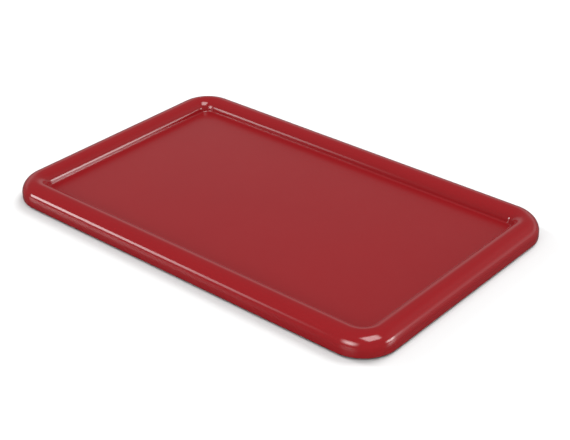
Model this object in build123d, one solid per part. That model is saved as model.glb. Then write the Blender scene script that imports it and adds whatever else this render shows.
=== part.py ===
from build123d import *
import math
import os

# Lift-off top tray of a book cart: one moulded shell with a fat hollow bead round a recessed deck,
# standing on four rubber feet that are screwed to brass inserts in the corners of the bead.
#
# Millimetres, +Z up, X along the long side, -Y the front. The origin is the centre of the footprint,
# on the surface that the feet stand on.

# ---------------------------------------------------------------- driving dimensions

# The tray's outline.
LENGTH = 711.0
WIDTH = 456.0
CORNER_RADIUS = 57.0

# The moulding: its height, the wall, the bead's rounds outside and inside the crown, and how far the
# deck lies below the crown.
SHELL_HEIGHT = 32.0
WALL = 3.5
BEAD_RADIUS = 22.0
INNER_BEAD_RADIUS = 20.0
DECK_DROP = 19.0
DECK_FILLET = 3.0
LOWER_EDGE_RADIUS = 3.0

# The ribs under the deck, which run on through the hollow bead as webs.
RIB_THICKNESS = 2.5
RIB_CLEARANCE = 2.5
RIB_COLUMNS = 5
RIB_ROWS = 3

# The feet, and the bosses that carry them.
FOOT_INSET = 32.0
FOOT_GAP = 2.0
FOOT_HEIGHT = 8.0
FOOT_DIAMETER = 26.0
FOOT_EDGE_RADIUS = 1.5
FOOT_HOLE_DIAMETER = 4.5
FOOT_RECESS_DIAMETER = 10.5
FOOT_RECESS_DEPTH = 4.8
BOSS_DIAMETER = 16.0
GUSSET_REACH = 42.0
GUSSET_CLEARANCE = 2.0

# The M4 hardware.
THREAD_DIAMETER = 4.0
INSERT_LENGTH = 8.0
INSERT_DIAMETER = 6.0
INSERT_TOOTH_DEPTH = 0.3
INSERT_TEETH = 20
INSERT_BAND_LENGTH = 3.0
INSERT_NECK_DIAMETER = 5.2
INSERT_HOLE_DIAMETER = 5.6
INSERT_HOLE_DEPTH = 12.0
WASHER_DIAMETER = 9.0
WASHER_HOLE_DIAMETER = 4.3
WASHER_THICKNESS = 0.8
SCREW_LENGTH = 14.0
SCREW_TIP_CHAMFER = 0.5
HEAD_DIAMETER = 8.0
HEAD_HEIGHT = 2.7
HEAD_EDGE_RADIUS = 1.2
DRIVE_SPAN = 4.0
DRIVE_WIDTH = 0.9
DRIVE_DEPTH = 1.5

# ---------------------------------------------------------------- sizes that follow from them

CROWN_Z = FOOT_GAP + SHELL_HEIGHT
DECK_Z = CROWN_Z - DECK_DROP
CORNER_X = LENGTH / 2 - CORNER_RADIUS
CORNER_Y = WIDTH / 2 - CORNER_RADIUS
FOOT_X = LENGTH / 2 - FOOT_INSET
FOOT_Y = WIDTH / 2 - FOOT_INSET
RIB_PITCH_X = LENGTH / (RIB_COLUMNS + 1)
RIB_PITCH_Y = WIDTH / (RIB_ROWS + 1)
WASHER_Z = FOOT_RECESS_DEPTH - WASHER_THICKNESS

FEET = {
    "front_left": (-FOOT_X, -FOOT_Y),
    "front_right": (FOOT_X, -FOOT_Y),
    "back_left": (-FOOT_X, FOOT_Y),
    "back_right": (FOOT_X, FOOT_Y),
}


# ---------------------------------------------------------------- tray shell

def rod(diameter, base_z, height):
    """An upright cylinder on the Z axis, from base_z up."""
    return Pos(0, 0, base_z + height / 2) * Cylinder(diameter / 2, height)


def rim_section(inset, base_z, edge_radius):
    """The section from a corner's axis out to the outer wall, shrunk by inset, as a face.

    Its X is the distance out from the axis and its Y is the height. The rounds of any two insets share
    their centres, so the wall between them is equally thick all the way.
    """
    crown_x = CORNER_RADIUS - BEAD_RADIUS
    outer_centre_z = CROWN_Z - BEAD_RADIUS
    inner_centre_z = CROWN_Z - INNER_BEAD_RADIUS
    fillet_arm = INNER_BEAD_RADIUS + DECK_FILLET
    slope = math.acos((DECK_Z + DECK_FILLET - inner_centre_z) / fillet_arm)

    outer_radius = BEAD_RADIUS - inset
    inner_radius = INNER_BEAD_RADIUS - inset
    outer_x = CORNER_RADIUS - inset
    edge_start = (outer_x - edge_radius, base_z)
    edge_end = (outer_x, base_z + edge_radius)
    shoulder = (outer_x, outer_centre_z)
    crown = (crown_x, CROWN_Z - inset)
    bead_end = (crown_x - inner_radius * math.sin(slope),
                inner_centre_z + inner_radius * math.cos(slope))
    deck_start = (crown_x - fillet_arm * math.sin(slope), DECK_Z - inset)

    outline = [
        Line((0, base_z), edge_start),
        Line(edge_end, shoulder),
        RadiusArc(shoulder, crown, -outer_radius),
        RadiusArc(crown, bead_end, -inner_radius),
        RadiusArc(bead_end, deck_start, DECK_FILLET + inset),
        Line(deck_start, (0, DECK_Z - inset)),
        Line((0, DECK_Z - inset), (0, base_z)),
    ]
    if edge_radius:
        outline.append(RadiusArc(edge_start, edge_end, -edge_radius))
    return make_face(outline)


def carried_round(section, base_z, top_z):
    """The section carried round the tray's outline, with the middle filled by a plain block."""
    side = extrude(Plane((CORNER_X, -CORNER_Y, 0), x_dir=(1, 0, 0), z_dir=(0, -1, 0)) * section,
                   -2 * CORNER_Y)
    back = extrude(Plane((-CORNER_X, CORNER_Y, 0), x_dir=(0, 1, 0), z_dir=(1, 0, 0)) * section,
                   2 * CORNER_X)
    corner = revolve(Plane((CORNER_X, CORNER_Y, 0), x_dir=(1, 0, 0), z_dir=(0, -1, 0)) * section,
                     Axis((CORNER_X, CORNER_Y, 0), (0, 0, 1)), 90)
    half = side + back + corner + mirror(corner, Plane.YZ)
    middle = Pos(0, 0, (base_z + top_z) / 2) * Box(2 * CORNER_X, 2 * CORNER_Y, top_z - base_z)
    return middle + half + Rot(0, 0, 180) * half


def rib_grid():
    """Crossed plates, tall enough to reach the top of the hollow everywhere."""
    base_z = FOOT_GAP + RIB_CLEARANCE
    height = CROWN_Z - base_z
    centre_z = base_z + height / 2
    ribs = [Pos(RIB_PITCH_X * (i - (RIB_COLUMNS - 1) / 2), 0, centre_z) * Box(RIB_THICKNESS, WIDTH, height)
            for i in range(RIB_COLUMNS)]
    ribs += [Pos(0, RIB_PITCH_Y * (i - (RIB_ROWS - 1) / 2), centre_z) * Box(LENGTH, RIB_THICKNESS, height)
             for i in range(RIB_ROWS)]
    return ribs


def corner_boss():
    """A boss with four gussets, square to the corner, that hangs from the bead down to its foot."""
    boss = rod(BOSS_DIAMETER, FOOT_HEIGHT, CROWN_Z - FOOT_HEIGHT)
    gusset_height = CROWN_Z - FOOT_HEIGHT - GUSSET_CLEARANCE
    gusset = Pos(0, 0, CROWN_Z - gusset_height / 2) * Box(2 * GUSSET_REACH, RIB_THICKNESS, gusset_height)
    return boss + Rot(0, 0, 45) * gusset + Rot(0, 0, 135) * gusset


def tray_shell():
    shell = carried_round(rim_section(0, FOOT_GAP, LOWER_EDGE_RADIUS), FOOT_GAP, DECK_Z)
    hollow = carried_round(rim_section(WALL, 0, 0), 0, DECK_Z - WALL)
    hollow -= rib_grid()
    hollow -= [Pos(x, y, 0) * corner_boss() for x, y in FEET.values()]
    shell -= hollow
    insert_hole = rod(INSERT_HOLE_DIAMETER, FOOT_HEIGHT, INSERT_HOLE_DEPTH)
    return shell - [Pos(x, y, 0) * insert_hole for x, y in FEET.values()]


# ---------------------------------------------------------------- feet and their hardware

def foot():
    """A rubber foot with a recess below for the washer and the screw's head."""
    body = rod(FOOT_DIAMETER, 0, FOOT_HEIGHT)
    body = fillet(body.edges().filter_by(GeomType.CIRCLE), FOOT_EDGE_RADIUS)
    body -= rod(FOOT_HOLE_DIAMETER, 0, FOOT_HEIGHT)
    return body - rod(FOOT_RECESS_DIAMETER, 0, FOOT_RECESS_DEPTH)


def toothed_band(base_z):
    """A band of straight teeth round the insert, whose tips bite into the boss."""
    tip = INSERT_DIAMETER / 2
    radii = (tip, tip - INSERT_TOOTH_DEPTH) * INSERT_TEETH
    step = math.pi / INSERT_TEETH
    points = [(r * math.cos(i * step), r * math.sin(i * step)) for i, r in enumerate(radii)]
    return Pos(0, 0, base_z) * extrude(make_face(Polyline(*points, close=True)), INSERT_BAND_LENGTH)


def threaded_insert():
    """A brass insert with a toothed band at each end, pressed hot into the boss."""
    body = rod(INSERT_NECK_DIAMETER, FOOT_HEIGHT, INSERT_LENGTH)
    body += toothed_band(FOOT_HEIGHT)
    body += toothed_band(FOOT_HEIGHT + INSERT_LENGTH - INSERT_BAND_LENGTH)
    return body - rod(THREAD_DIAMETER, FOOT_HEIGHT, INSERT_LENGTH)


def foot_washer():
    disc = rod(WASHER_DIAMETER, WASHER_Z, WASHER_THICKNESS)
    return disc - rod(WASHER_HOLE_DIAMETER, WASHER_Z, WASHER_THICKNESS)


def foot_screw():
    """A pan-head screw, head down, with a cross recess."""
    head_z = WASHER_Z - HEAD_HEIGHT
    head = rod(HEAD_DIAMETER, head_z, HEAD_HEIGHT)
    head = fillet(head.edges().filter_by(GeomType.CIRCLE).sort_by(Axis.Z)[0], HEAD_EDGE_RADIUS)
    slot = Pos(0, 0, head_z + DRIVE_DEPTH / 2) * Box(DRIVE_SPAN, DRIVE_WIDTH, DRIVE_DEPTH)
    head -= [slot, Rot(0, 0, 90) * slot]
    shank = rod(THREAD_DIAMETER, WASHER_Z, SCREW_LENGTH)
    shank = chamfer(shank.edges().filter_by(GeomType.CIRCLE).sort_by(Axis.Z)[-1], SCREW_TIP_CHAMFER)
    return head + shank


# ---------------------------------------------------------------- export

def main():
    os.makedirs("parts", exist_ok=True)
    export_step(tray_shell(), "parts/tray_shell.step")
    corner_pieces = {
        "foot": foot(),
        "threaded_insert": threaded_insert(),
        "foot_washer": foot_washer(),
        "foot_screw": foot_screw(),
    }
    for name, piece in corner_pieces.items():
        for corner, (x, y) in FEET.items():
            export_step(Pos(x, y, 0) * piece, f"parts/{name}_{corner}.step")


main()
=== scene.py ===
import bmesh
import bpy
import math
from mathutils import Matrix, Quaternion, Vector


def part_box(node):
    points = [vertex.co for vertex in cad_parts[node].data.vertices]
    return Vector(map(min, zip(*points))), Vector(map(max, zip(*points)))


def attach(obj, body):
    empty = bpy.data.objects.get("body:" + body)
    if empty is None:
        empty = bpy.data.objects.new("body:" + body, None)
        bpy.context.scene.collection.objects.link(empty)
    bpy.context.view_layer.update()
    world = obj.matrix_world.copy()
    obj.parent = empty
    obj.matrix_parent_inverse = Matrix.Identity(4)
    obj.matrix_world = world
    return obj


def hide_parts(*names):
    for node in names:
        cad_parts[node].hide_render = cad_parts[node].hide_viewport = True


# Looks of the lift-off top tray of a book cart. Metres, +Z up, X along the long side, -Y the front.
# The shell is rebuilt here with an even mesh, and stands for the CAD shell. The feet and their
# hardware are the CAD pieces with better materials.

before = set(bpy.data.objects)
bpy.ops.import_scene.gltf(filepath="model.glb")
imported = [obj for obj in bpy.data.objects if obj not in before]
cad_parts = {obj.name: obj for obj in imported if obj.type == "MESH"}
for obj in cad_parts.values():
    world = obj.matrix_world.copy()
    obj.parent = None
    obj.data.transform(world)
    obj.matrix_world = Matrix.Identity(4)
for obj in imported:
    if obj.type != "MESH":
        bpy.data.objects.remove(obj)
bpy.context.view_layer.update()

# ---------------------------------------------------------------- the shell's dimensions

SHELL_LO, SHELL_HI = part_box("tray_shell")
HALF_LENGTH = SHELL_HI.x
HALF_WIDTH = SHELL_HI.y
CROWN_Z = SHELL_HI.z
BASE_Z = SHELL_LO.z
CORNER_RADIUS = 0.057
WALL = 0.0035
BEAD_RADIUS = 0.022
INNER_BEAD_RADIUS = 0.020
DECK_DROP = 0.019
DECK_FILLET = 0.003
LOWER_EDGE_RADIUS = 0.003
DECK_Z = CROWN_Z - DECK_DROP

RIB_THICKNESS = 0.0025
RIB_BASE_Z = BASE_Z + 0.0025
RIB_COLUMNS = 5
RIB_ROWS = 3

BOSS_RADIUS = 0.008
GUSSET_REACH = 0.042
GUSSET_CLEARANCE = 0.002
INSERT_HOLE_RADIUS = 0.0028
INSERT_HOLE_DEPTH = 0.012
CORNERS = ("front_left", "front_right", "back_left", "back_right")

# How finely the rounds are divided.
OUTER_STEPS = 30
INNER_STEPS = 27
FILLET_STEPS = 8
EDGE_STEPS = 8
CORNER_STEPS = 24
LONG_STEPS = 24
SHORT_STEPS = 16

# Points nearer to each other than this after a cut are one point.
WELD = 0.000002

# Faces that meet at a greater angle than this, in degrees, have a sharp edge between them.
SHARP_ANGLE = 30


# ---------------------------------------------------------------- mesh tools

def mesh_object(name, verts, faces):
    """An object in the scene with these vertices and faces."""
    mesh = bpy.data.meshes.new(name)
    mesh.from_pydata(verts, [], faces)
    mesh.validate()
    obj = bpy.data.objects.new(name, mesh)
    bpy.context.scene.collection.objects.link(obj)
    return obj


def arc(centre, radius, start, end, steps):
    """Points round a centre, from one angle in degrees to the other, both ends included."""
    angles = [math.radians(start + (end - start) * i / steps) for i in range(steps + 1)]
    return [(centre[0] + radius * math.cos(a), centre[1] + radius * math.sin(a)) for a in angles]


def rim_profile(inset, base_z, edge_radius):
    """(depth in from the outer wall, height) from the lower edge, over the bead and down to the deck."""
    arm = INNER_BEAD_RADIUS + DECK_FILLET
    inner_z = CROWN_Z - INNER_BEAD_RADIUS
    slope = math.acos((DECK_Z + DECK_FILLET - inner_z) / arm)
    slope_deg = math.degrees(slope)
    fillet_centre = (BEAD_RADIUS + arm * math.sin(slope), DECK_Z + DECK_FILLET)
    if edge_radius:
        points = arc((inset + edge_radius, base_z + edge_radius), edge_radius, 270, 180, EDGE_STEPS)
    else:
        points = [(inset, base_z)]
    points += arc((BEAD_RADIUS, CROWN_Z - BEAD_RADIUS), BEAD_RADIUS - inset, 180, 90, OUTER_STEPS)
    points += arc((BEAD_RADIUS, inner_z), INNER_BEAD_RADIUS - inset, 90, 90 - slope_deg, INNER_STEPS)[1:]
    points += arc(fillet_centre, DECK_FILLET + inset, 270 - slope_deg, 270, FILLET_STEPS)[1:]
    return points


def between(start, end, steps):
    """The points that divide a line into equal steps, without its ends."""
    return [(start[0] + (end[0] - start[0]) * k / steps, start[1] + (end[1] - start[1]) * k / steps)
            for k in range(1, steps)]


def ring(depth, z):
    """The tray's rounded outline, drawn in by depth, counter-clockwise as seen from above.

    It starts in the middle of the back right corner, so that its four sides bound a grid.
    """
    radius = CORNER_RADIUS - depth
    cx = HALF_LENGTH - CORNER_RADIUS
    cy = HALF_WIDTH - CORNER_RADIUS
    centres = ((cx, cy), (-cx, cy), (-cx, -cy), (cx, -cy))
    rounds = [arc(centre, radius, 90 * i, 90 * i + 90, CORNER_STEPS) for i, centre in enumerate(centres)]
    points = []
    for i, corner in enumerate(rounds):
        steps = LONG_STEPS if i % 2 == 0 else SHORT_STEPS
        points += corner + between(corner[-1], rounds[(i + 1) % 4][0], steps)
    half = CORNER_STEPS // 2
    points = points[half:] + points[:half]
    return [(x, y, z) for x, y in points]


def grid_cap(verts, loop, rows, columns):
    """Fills a closed loop of vertex numbers with an even grid.

    The points inside it blend those on the four sides. They are added to verts, and the faces returned.
    """
    top = loop[0:columns + 1]
    left = loop[columns:columns + rows + 1]
    bottom = loop[columns + rows:2 * columns + rows + 1][::-1]
    right = (loop[2 * columns + rows:] + loop[:1])[::-1]
    table = [list(top)]
    for r in range(1, rows):
        v = r / rows
        line = [right[r]]
        for c in range(1, columns):
            u = c / columns
            sides = (Vector(verts[top[c]]) * (1 - v) + Vector(verts[bottom[c]]) * v
                     + Vector(verts[right[r]]) * (1 - u) + Vector(verts[left[r]]) * u)
            corners = (Vector(verts[top[0]]) * (1 - u) * (1 - v) + Vector(verts[top[-1]]) * u * (1 - v)
                       + Vector(verts[bottom[0]]) * (1 - u) * v + Vector(verts[bottom[-1]]) * u * v)
            verts.append(tuple(sides - corners))
            line.append(len(verts) - 1)
        line.append(left[r])
        table.append(line)
    table.append(list(bottom))
    return [(table[r][c], table[r][c + 1], table[r + 1][c + 1], table[r + 1][c])
            for r in range(rows) for c in range(columns)]


def swept_solid(name, profile):
    """A closed solid with the profile carried round the tray's outline, capped above and below."""
    verts = []
    for depth, z in profile:
        verts += ring(depth, z)
    count = len(verts) // len(profile)
    faces = []
    for k in range(len(profile) - 1):
        for i in range(count):
            j = (i + 1) % count
            faces.append((k * count + i, k * count + j, (k + 1) * count + j, (k + 1) * count + i))
    rows = CORNER_STEPS + SHORT_STEPS
    columns = CORNER_STEPS + LONG_STEPS
    last = (len(profile) - 1) * count
    faces += grid_cap(verts, list(range(last, last + count)), rows, columns)
    faces += [face[::-1] for face in grid_cap(verts, list(range(count)), rows, columns)]
    return mesh_object(name, verts, faces)


def block(name, centre, size, turn=0.0):
    """A box, turned about its own upright axis by turn degrees."""
    cos, sin = math.cos(math.radians(turn)), math.sin(math.radians(turn))
    verts = []
    for sz in (-0.5, 0.5):
        for sx, sy in ((-0.5, -0.5), (0.5, -0.5), (0.5, 0.5), (-0.5, 0.5)):
            x, y = sx * size[0], sy * size[1]
            verts.append((centre[0] + x * cos - y * sin, centre[1] + x * sin + y * cos,
                          centre[2] + sz * size[2]))
    faces = [(3, 2, 1, 0), (4, 5, 6, 7), (0, 1, 5, 4), (1, 2, 6, 5), (2, 3, 7, 6), (3, 0, 4, 7)]
    return mesh_object(name, verts, faces)


def upright_rod(name, x, y, radius, base_z, top_z, sides=48):
    """A closed cylinder on an upright axis."""
    circle = arc((x, y), radius, 0, 360, sides)[:-1]
    verts = [(px, py, z) for z in (base_z, top_z) for px, py in circle]
    faces = [(i, (i + 1) % sides, sides + (i + 1) % sides, sides + i) for i in range(sides)]
    faces += [tuple(range(sides))[::-1], tuple(range(sides, 2 * sides))]
    return mesh_object(name, verts, faces)


def weld(mesh):
    """Merges the points that a cut leaves on top of each other, and drops the faces between them."""
    work = bmesh.new()
    work.from_mesh(mesh)
    bmesh.ops.remove_doubles(work, verts=work.verts, dist=WELD)
    bmesh.ops.dissolve_degenerate(work, edges=work.edges, dist=WELD)
    work.to_mesh(mesh)
    work.free()


def cut(target, cutters):
    """Subtracts the cutters from the target, and deletes them."""
    group = bpy.data.collections.new("cutters")
    for cutter in cutters:
        group.objects.link(cutter)
    modifier = target.modifiers.new("cut", "BOOLEAN")
    modifier.operation = "DIFFERENCE"
    modifier.solver = "EXACT"
    modifier.operand_type = "COLLECTION"
    modifier.collection = group
    evaluated = target.evaluated_get(bpy.context.evaluated_depsgraph_get())
    target.data = bpy.data.meshes.new_from_object(evaluated)
    target.modifiers.clear()
    weld(target.data)
    for cutter in cutters:
        bpy.data.objects.remove(cutter)
    bpy.data.collections.remove(group)


# ---------------------------------------------------------------- the shell

def rib_blocks():
    """Crossed plates under the deck, tall enough to reach the top of the hollow everywhere."""
    height = CROWN_Z - RIB_BASE_Z
    z = RIB_BASE_Z + height / 2
    pitch_x = 2 * HALF_LENGTH / (RIB_COLUMNS + 1)
    pitch_y = 2 * HALF_WIDTH / (RIB_ROWS + 1)
    blocks = [block("rib", (pitch_x * (i - (RIB_COLUMNS - 1) / 2), 0, z),
                    (RIB_THICKNESS, 2 * HALF_WIDTH, height)) for i in range(RIB_COLUMNS)]
    blocks += [block("rib", (0, pitch_y * (i - (RIB_ROWS - 1) / 2), z),
                     (2 * HALF_LENGTH, RIB_THICKNESS, height)) for i in range(RIB_ROWS)]
    return blocks


def foot_top(corner):
    """The place of the middle of a foot's top face, which its boss stands on."""
    lo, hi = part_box("foot_" + corner)
    return (lo.x + hi.x) / 2, (lo.y + hi.y) / 2, hi.z


def corner_boss(corner):
    """The boss that a foot is screwed to, with its crossed gussets."""
    x, y, base_z = foot_top(corner)
    gusset_base = base_z + GUSSET_CLEARANCE
    height = CROWN_Z - gusset_base
    centre = (x, y, gusset_base + height / 2)
    size = (2 * GUSSET_REACH, RIB_THICKNESS, height)
    return [
        upright_rod("boss", x, y, BOSS_RADIUS, base_z, CROWN_Z),
        block("gusset", centre, size, 45),
        block("gusset", centre, size, 135),
    ]


def insert_hole(corner):
    """The hole in the end of a boss that the threaded insert fills."""
    x, y, base_z = foot_top(corner)
    return upright_rod("hole", x, y, INSERT_HOLE_RADIUS, base_z, base_z + INSERT_HOLE_DEPTH)


def tray_shell():
    """The moulding: the solid, less a hollow that has the ribs and the bosses cut out of it."""
    shell = swept_solid("shell", rim_profile(0, BASE_Z, LOWER_EDGE_RADIUS))
    hollow = swept_solid("hollow", rim_profile(WALL, 0, 0))
    inside = rib_blocks()
    for corner in CORNERS:
        inside += corner_boss(corner)
    cut(hollow, inside)
    cut(shell, [hollow] + [insert_hole(corner) for corner in CORNERS])
    shell.data.shade_smooth()
    shell.data.set_sharp_from_angle(angle=math.radians(SHARP_ANGLE))
    return shell


# ---------------------------------------------------------------- materials

# The plastic: its pigment, and its roughness. Handling adds up to HANDLING_ROUGHNESS to that, from the
# first to the second level of its noise.
DEEP_RED = (0.242, 0.0078, 0.0108, 1)
BRIGHT_RED = (0.258, 0.0086, 0.0114, 1)
BEAD_ROUGHNESS = 0.08
DECK_ROUGHNESS = 0.20
HANDLING_ROUGHNESS = 0.02
HANDLING_LEVELS = (0.35, 0.7)

# The grain covers the deck and what lies below it, further in from the outer wall than DECK_INSET. It
# fades out between the two heights above the deck. The ripple runs over everything.
DECK_INSET = 0.040
GRAIN_START = 0.0001
GRAIN_END = 0.0014
GRAIN_HEIGHT = 0.00004
RIPPLE_HEIGHT = 0.000001
RUBBER_DEPTH = 0.00005
TURNING_DEPTH = 0.00002

# The scales of the noises: roughly how many spots or lines of each there are to a metre.
CLOUD_SCALE = 9.0
HANDLING_SCALE = 26.0
GRAIN_SCALE = 1600.0
RIPPLE_SCALE = 60.0
RUBBER_TONE_SCALE = 420.0
RUBBER_GLOSS_SCALE = 900.0
RUBBER_BUMP_SCALE = 2400.0
TURNING_SCALE = (500, 500, 6000)

# Rubber and metal: darkest and lightest tone, lowest and highest roughness.
RUBBER = (0.018, 0.034, 0.62, 0.82)
BRASS = ((0.56, 0.39, 0.15, 1), (0.72, 0.52, 0.22, 1), 0.22, 0.40)
ZINC = ((0.52, 0.53, 0.55, 1), (0.66, 0.67, 0.69, 1), 0.24, 0.42)


def add(tree, kind, inputs=None, **settings):
    """Adds a node. inputs are sockets to link or values to set, by socket name or number."""
    node = tree.nodes.new(kind)
    for name, value in settings.items():
        setattr(node, name, value)
    for socket, value in (inputs or {}).items():
        if isinstance(value, bpy.types.NodeSocket):
            tree.links.new(value, node.inputs[socket])
        else:
            node.inputs[socket].default_value = value
    return node


def calc(tree, operation, *values):
    """The result of a Math node on sockets or numbers."""
    return add(tree, "ShaderNodeMath", dict(enumerate(values)), operation=operation).outputs[0]


def scaled(tree, value, low, high):
    """The value, from 0 to 1, carried over to the range from low to high."""
    inputs = {"Value": value, "To Min": low, "To Max": high}
    return add(tree, "ShaderNodeMapRange", inputs).outputs["Result"]


def smooth_range(tree, value, start, end, top=1.0):
    """Rises smoothly from 0 to top while the value goes from start to end."""
    inputs = {"Value": value, "From Min": start, "From Max": end, "To Max": top}
    return add(tree, "ShaderNodeMapRange", inputs, interpolation_type="SMOOTHSTEP").outputs["Result"]


def mixed(tree, share, first, second):
    """A colour between the two."""
    node = add(tree, "ShaderNodeMix", {0: share}, data_type="RGBA")
    node.inputs[6].default_value = first
    node.inputs[7].default_value = second
    return node.outputs[2]


def material(name):
    """A new material. Returns it with its node tree and its Principled shader."""
    made = bpy.data.materials.new(name)
    made.use_nodes = True
    return made, made.node_tree, made.node_tree.nodes["Principled BSDF"]


def noise(tree, scale, detail=2.0, roughness=0.5):
    """Noise from 0 to 1, fixed to the object."""
    place = add(tree, "ShaderNodeTexCoord").outputs["Object"]
    inputs = {"Vector": place, "Scale": scale, "Detail": detail, "Roughness": roughness}
    return add(tree, "ShaderNodeTexNoise", inputs).outputs["Fac"]


def on_deck(tree):
    """1 on the deck and what lies below it, and 0 on the bead."""
    place = add(tree, "ShaderNodeSeparateXYZ",
                {0: add(tree, "ShaderNodeTexCoord").outputs["Object"]}).outputs
    inside_x = calc(tree, "LESS_THAN", calc(tree, "ABSOLUTE", place[0]), HALF_LENGTH - DECK_INSET)
    inside_y = calc(tree, "LESS_THAN", calc(tree, "ABSOLUTE", place[1]), HALF_WIDTH - DECK_INSET)
    low = smooth_range(tree, place[2], DECK_Z + GRAIN_END, DECK_Z + GRAIN_START)
    return calc(tree, "MULTIPLY", low, calc(tree, "MULTIPLY", inside_x, inside_y))


def shell_plastic():
    """Red moulded plastic: a polished bead, and a duller deck and underside with a fine grain."""
    made, tree, shader = material("shell_plastic")
    shader.inputs["IOR"].default_value = 1.5
    deck = on_deck(tree)

    clouds = noise(tree, CLOUD_SCALE, 3.0, 0.6)
    tree.links.new(mixed(tree, clouds, DEEP_RED, BRIGHT_RED), shader.inputs["Base Color"])

    marks = noise(tree, HANDLING_SCALE, 4.0, 0.65)
    handling = smooth_range(tree, marks, *HANDLING_LEVELS, HANDLING_ROUGHNESS)
    bead_gloss = calc(tree, "ADD", BEAD_ROUGHNESS, handling)
    deck_gloss = calc(tree, "ADD", DECK_ROUGHNESS, handling)
    gloss = add(tree, "ShaderNodeMix", {0: deck, 2: bead_gloss, 3: deck_gloss})
    tree.links.new(gloss.outputs[0], shader.inputs["Roughness"])

    grain = calc(tree, "MULTIPLY", noise(tree, GRAIN_SCALE), calc(tree, "MULTIPLY", deck, GRAIN_HEIGHT))
    ripple = calc(tree, "MULTIPLY", noise(tree, RIPPLE_SCALE, 1.0), RIPPLE_HEIGHT)
    bump = add(tree, "ShaderNodeBump", {"Height": calc(tree, "ADD", grain, ripple), "Distance": 1.0})
    tree.links.new(bump.outputs[0], shader.inputs["Normal"])
    return made


def foot_rubber(dark, light, low_rough, high_rough):
    """Matte black rubber with a fine mottled surface."""
    made, tree, shader = material("foot_rubber")
    tone = scaled(tree, noise(tree, RUBBER_TONE_SCALE, 4.0), dark, light)
    tree.links.new(tone, shader.inputs["Base Color"])
    rough = scaled(tree, noise(tree, RUBBER_GLOSS_SCALE, 3.0), low_rough, high_rough)
    tree.links.new(rough, shader.inputs["Roughness"])
    height = noise(tree, RUBBER_BUMP_SCALE, 3.0)
    bump = add(tree, "ShaderNodeBump", {"Height": height, "Distance": RUBBER_DEPTH, "Strength": 0.6})
    tree.links.new(bump.outputs[0], shader.inputs["Normal"])
    return made


def turned_metal(name, dark, light, low_rough, high_rough):
    """Metal with fine turning marks, which run round the upright axis."""
    made, tree, shader = material(name)
    shader.inputs["Metallic"].default_value = 1.0
    stretch = add(tree, "ShaderNodeMapping", {0: add(tree, "ShaderNodeTexCoord").outputs["Object"]})
    stretch.inputs["Scale"].default_value = TURNING_SCALE
    inputs = {"Vector": stretch.outputs[0], "Scale": 1.0, "Detail": 3.0}
    marks = add(tree, "ShaderNodeTexNoise", inputs).outputs["Fac"]
    tree.links.new(mixed(tree, marks, dark, light), shader.inputs["Base Color"])
    tree.links.new(scaled(tree, marks, low_rough, high_rough), shader.inputs["Roughness"])
    bump = add(tree, "ShaderNodeBump", {"Height": marks, "Distance": TURNING_DEPTH, "Strength": 0.5})
    tree.links.new(bump.outputs[0], shader.inputs["Normal"])
    return made


def repaint(prefix, made):
    """Gives the material to every CAD node whose name starts with prefix."""
    for name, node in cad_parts.items():
        if name.startswith(prefix):
            for i in range(len(node.data.materials)):
                node.data.materials[i] = made


# ---------------------------------------------------------------- the studio

# The floor, and its tone to the camera, as light on the tray, and in the tray's reflections.
FLOOR_RADIUS = 40.0
FLOOR_SIDES = 96
FLOOR_ROUGHNESS = 0.3
FLOOR_SEEN = 0.45
FLOOR_AS_LIGHT = 0.39
FLOOR_REFLECTED = 0.05

# Soft lights from behind and from the left that only the floor takes, for the shadow in front of the
# tray and to its right: azimuth, elevation, angle that it spans, strength.
FLOOR_LIGHTS = (
    (86, 45, 43, 4.1),
    (190, 26, 17, 3.3),
)

# The softboxes: azimuth, elevation, roll, half width, half height, soft edge to the right, to the left,
# and at the top and bottom, as seen from the tray, and radiance. The last three are wide faint glows
# behind the tray.
SOFTBOXES = (
    (-135, 15.2, 9, 6, 6.2, 4, 15, 2, 9.8),
    (-87, 25, 0, 14, 10, 26, 26, 16, 10),
    (27, 10.3, -9, 12, 6.2, 12, 12, 2, 9.6),
    (-10, 63, 0, 16, 15, 10, 10, 10, 7.5),
    (47, 6, 0, 30, 9, 30, 30, 16, 0.60),
    (50, 28, 0, 25, 14, 40, 40, 24, 0.17),
    (135, 15, 0, 45, 9, 40, 40, 18, 0.36),
)

# What the tray reflects between the softboxes, the sky that lights everything else, and how much of
# the softboxes' radiance is light.
REFLECTED_SKY = 0.20
SKY_AT_HORIZON = 0.585
SKY_OVERHEAD = 1.06
SOFTBOX_SHARE = 0.48

# The camera: azimuth and elevation in degrees, lens in millimetres on a sensor 36 wide, and its aim
# and distance in lengths of the tray.
CAMERA_DIRECTION = (-50, 30)
CAMERA_LENS = 85.71
CAMERA_SENSOR = 36.0
CAMERA_AIM = (0.0342, -0.0047)
CAMERA_DISTANCE = 2.911


def direction(azimuth, elevation):
    """The unit vector that points that way. Azimuth is from +X towards +Y, in degrees."""
    a, e = math.radians(azimuth), math.radians(elevation)
    return Vector((math.cos(a) * math.cos(e), math.sin(a) * math.cos(e), math.sin(e)))


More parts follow.
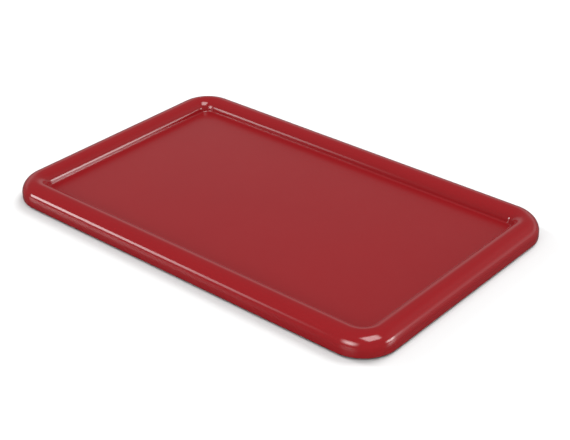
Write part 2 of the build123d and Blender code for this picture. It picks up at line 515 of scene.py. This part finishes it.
def studio_floor():
    """A matte floor, pale to the camera. As the tray sees it, it is darker and a little glossy."""
    rim = arc((0, 0), FLOOR_RADIUS, 0, 360, FLOOR_SIDES)[:-1]
    floor = mesh_object("floor", [(x, y, 0) for x, y in rim], [tuple(range(len(rim)))])
    made, tree, ground = material("floor")
    ray = add(tree, "ShaderNodeLightPath").outputs
    tone = add(tree, "ShaderNodeMix", {0: ray["Is Glossy Ray"], 2: FLOOR_AS_LIGHT, 3: FLOOR_REFLECTED})
    tree.links.new(tone.outputs[0], ground.inputs["Base Color"])
    ground.inputs["Roughness"].default_value = FLOOR_ROUGHNESS
    pale = add(tree, "ShaderNodeBsdfDiffuse", {"Color": (FLOOR_SEEN, FLOOR_SEEN, FLOOR_SEEN, 1)})
    mix = add(tree, "ShaderNodeMixShader",
              {0: ray["Is Camera Ray"], 1: ground.outputs[0], 2: pale.outputs[0]})
    tree.links.new(mix.outputs[0], tree.nodes["Material Output"].inputs["Surface"])
    floor.data.materials.append(made)
    return floor


def floor_light(floor, azimuth, elevation, angle, strength):
    """A distant soft light that falls on the floor alone."""
    data = bpy.data.lights.new("floor_light", "SUN")
    data.angle = math.radians(angle)
    data.energy = strength
    obj = bpy.data.objects.new("floor_light", data)
    bpy.context.scene.collection.objects.link(obj)
    obj.rotation_euler = direction(azimuth, elevation).to_track_quat("Z", "Y").to_euler()
    obj.visible_glossy = False
    receivers = bpy.data.collections.new("floor_only")
    receivers.objects.link(floor)
    obj.light_linking.receiver_collection = receivers


def dot(tree, vector, constant):
    """The dot product of a vector socket and a constant vector."""
    inputs = {0: vector, 1: tuple(constant)}
    return add(tree, "ShaderNodeVectorMath", inputs, operation="DOT_PRODUCT").outputs["Value"]


def softbox(tree, way, azimuth, elevation, roll, half_width, half_height, edge_right, edge_left, edge_ends,
            radiance):
    """A far-off rectangular softbox, as radiance by the way that is looked. Angles are in degrees."""
    centre = direction(azimuth, elevation)
    across = Quaternion(centre, math.radians(roll)) @ direction(azimuth + 90, 0)
    upward = centre.cross(across)
    facing = dot(tree, way, centre)
    light = calc(tree, "MULTIPLY", calc(tree, "GREATER_THAN", facing, 0.0), radiance)
    sides = ((across, half_width, edge_left), (-across, half_width, edge_right),
             (upward, half_height, edge_ends), (-upward, half_height, edge_ends))
    for axis, half, edge in sides:
        slope = calc(tree, "DIVIDE", dot(tree, way, axis), facing)
        outer = math.tan(math.radians(half + edge / 2))
        inner = math.tan(math.radians(half - edge / 2))
        light = calc(tree, "MULTIPLY", light, smooth_range(tree, slope, outer, inner))
    return light


def studio_light():
    """The world: white to the camera, bright softboxes in reflections, softboxes and sky as light."""
    world = bpy.data.worlds.new("studio")
    bpy.context.scene.world = world
    world.use_nodes = True
    tree = world.node_tree
    tree.nodes.clear()
    way = add(tree, "ShaderNodeTexCoord").outputs["Generated"]
    ray = add(tree, "ShaderNodeLightPath").outputs
    boxes = 0.0
    for box in SOFTBOXES:
        boxes = calc(tree, "ADD", boxes, softbox(tree, way, *box))
    reflected = calc(tree, "ADD", boxes, REFLECTED_SKY)
    overhead = calc(tree, "MULTIPLY", dot(tree, way, (0, 0, 1)), SKY_OVERHEAD - SKY_AT_HORIZON)
    sky = calc(tree, "ADD", SKY_AT_HORIZON, overhead)
    lighting = calc(tree, "ADD", calc(tree, "MULTIPLY", boxes, SOFTBOX_SHARE), sky)
    strength = add(tree, "ShaderNodeMix", {0: ray["Is Glossy Ray"], 2: lighting, 3: reflected}).outputs[0]
    studio = add(tree, "ShaderNodeBackground", {"Color": (1, 1, 1, 1), "Strength": strength})
    backdrop = add(tree, "ShaderNodeBackground", {"Color": (1, 1, 1, 1), "Strength": 1.0})
    mix = add(tree, "ShaderNodeMixShader",
              {0: ray["Is Camera Ray"], 1: studio.outputs[0], 2: backdrop.outputs[0]})
    add(tree, "ShaderNodeOutputWorld", {"Surface": mix.outputs[0]})


def camera():
    """Above the near corner, between the front and the right side."""
    data = bpy.data.cameras.new("camera")
    data.sensor_width = CAMERA_SENSOR
    data.lens = CAMERA_LENS
    obj = bpy.data.objects.new("camera", data)
    bpy.context.scene.collection.objects.link(obj)
    length = 2 * HALF_LENGTH
    back = direction(*CAMERA_DIRECTION)
    target = Vector((CAMERA_AIM[0] * length, CAMERA_AIM[1] * length, BASE_Z))
    obj.location = target + back * (CAMERA_DISTANCE * length)
    obj.rotation_euler = (-back).to_track_quat("-Z", "Y").to_euler()
    bpy.context.scene.camera = obj


# ---------------------------------------------------------------- putting it together

camera()
floor = studio_floor()
for light in FLOOR_LIGHTS:
    floor_light(floor, *light)
studio_light()
bpy.context.scene.view_settings.view_transform = "Standard"

shell = tray_shell()
shell.name = "moulded_shell"
shell.data.materials.clear()
shell.data.materials.append(shell_plastic())
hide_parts("tray_shell")
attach(shell, "root")

rubber = foot_rubber(*RUBBER)
zinc = turned_metal("zinc_plate", *ZINC)
repaint("foot_front", rubber)
repaint("foot_back", rubber)
repaint("threaded_insert", turned_metal("insert_brass", *BRASS))
repaint("foot_washer", zinc)
repaint("foot_screw", zinc)
